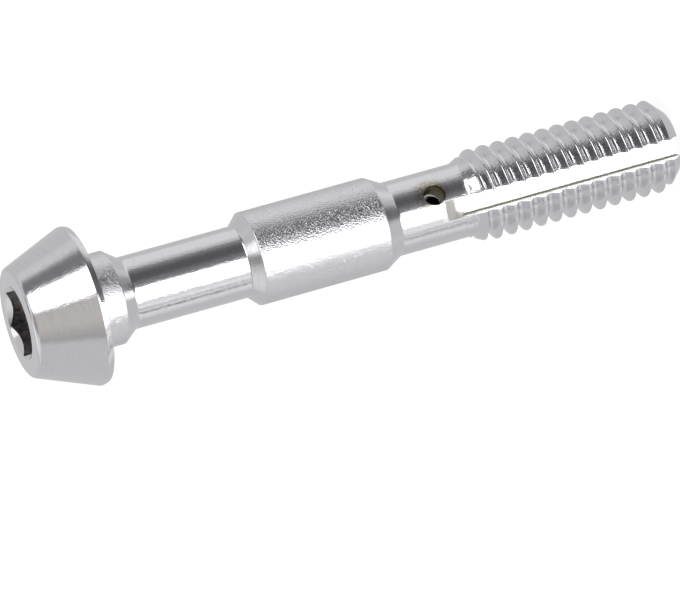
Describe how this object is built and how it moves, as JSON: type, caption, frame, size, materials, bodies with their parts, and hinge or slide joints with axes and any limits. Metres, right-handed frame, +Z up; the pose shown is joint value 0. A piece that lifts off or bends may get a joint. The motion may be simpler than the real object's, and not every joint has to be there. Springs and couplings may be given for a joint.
{
  "type": "banjo bolt",
  "caption": "Long hollow chromed banjo bolt with a cone-shaped hex socket head, a guide diameter between thin necks, a cross hole and a slotted thread, on its tip.",
  "frame": {"origin": "on the surface that the bolt stands on, in the middle of its tip", "axes": "+Z up, from the tip to the head; the slot along the thread faces -Y"},
  "size_m": [0.016, 0.0158, 0.0685],
  "materials": {
    "chrome": "bright chrome plate over turned steel, faintly ringed"
  },
  "bodies": {
    "root": {"banjo_bolt": "chrome"}
  },
  "joints": []
}
